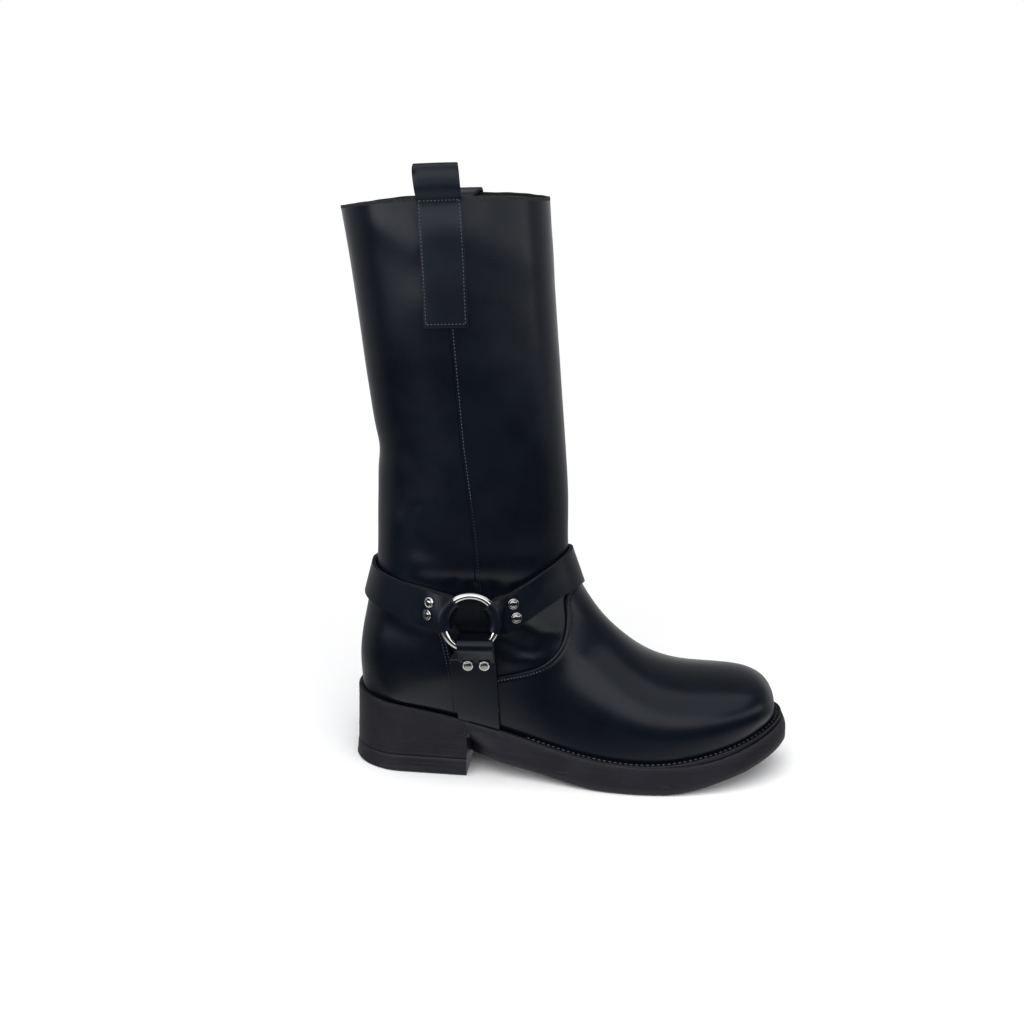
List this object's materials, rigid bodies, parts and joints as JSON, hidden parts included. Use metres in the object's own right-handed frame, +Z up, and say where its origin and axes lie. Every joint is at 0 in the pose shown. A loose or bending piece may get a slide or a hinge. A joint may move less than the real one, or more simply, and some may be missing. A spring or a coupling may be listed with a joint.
{
  "type": "leather boot",
  "caption": "Black leather pull-on boot for the right foot, with a ring and strap harness at the ankle, pull straps at the collar and a welted rubber sole with a block heel.",
  "frame": {"origin": "middle of the boot's box, on the floor that it stands on", "axes": "+X to the toe, +Y to the medial (inner) side, +Z up"},
  "size_m": [0.2882, 0.1114, 0.3838],
  "materials": {
    "black_leather": "smooth, semi-gloss",
    "black_rubber": "matte",
    "nickel": "polished nickel plate",
    "grey_lining": "napped, matte"
  },
  "bodies": {
    "root": {"outsole": "black_rubber", "heel_top_lift": "black_rubber", "welt": "black_rubber", "insole": "grey_lining", "upper": "black_leather", "vamp": "black_leather", "counter": "black_leather", "strap_back": "black_leather", "strap_front": "black_leather", "strap_down_lateral": "black_leather", "strap_down_medial": "black_leather", "pull_strap_lateral": "black_leather", "pull_strap_medial": "black_leather", "ring_lateral": "nickel", "ring_medial": "nickel", "rivet_lateral_back_1": "nickel", "rivet_lateral_back_2": "nickel", "rivet_lateral_front_1": "nickel", "rivet_lateral_front_2": "nickel", "rivet_lateral_down_1": "nickel", "rivet_lateral_down_2": "nickel", "rivet_medial_back_1": "nickel", "rivet_medial_back_2": "nickel", "rivet_medial_front_1": "nickel", "rivet_medial_front_2": "nickel", "rivet_medial_down_1": "nickel", "rivet_medial_down_2": "nickel"}
  },
  "joints": []
}
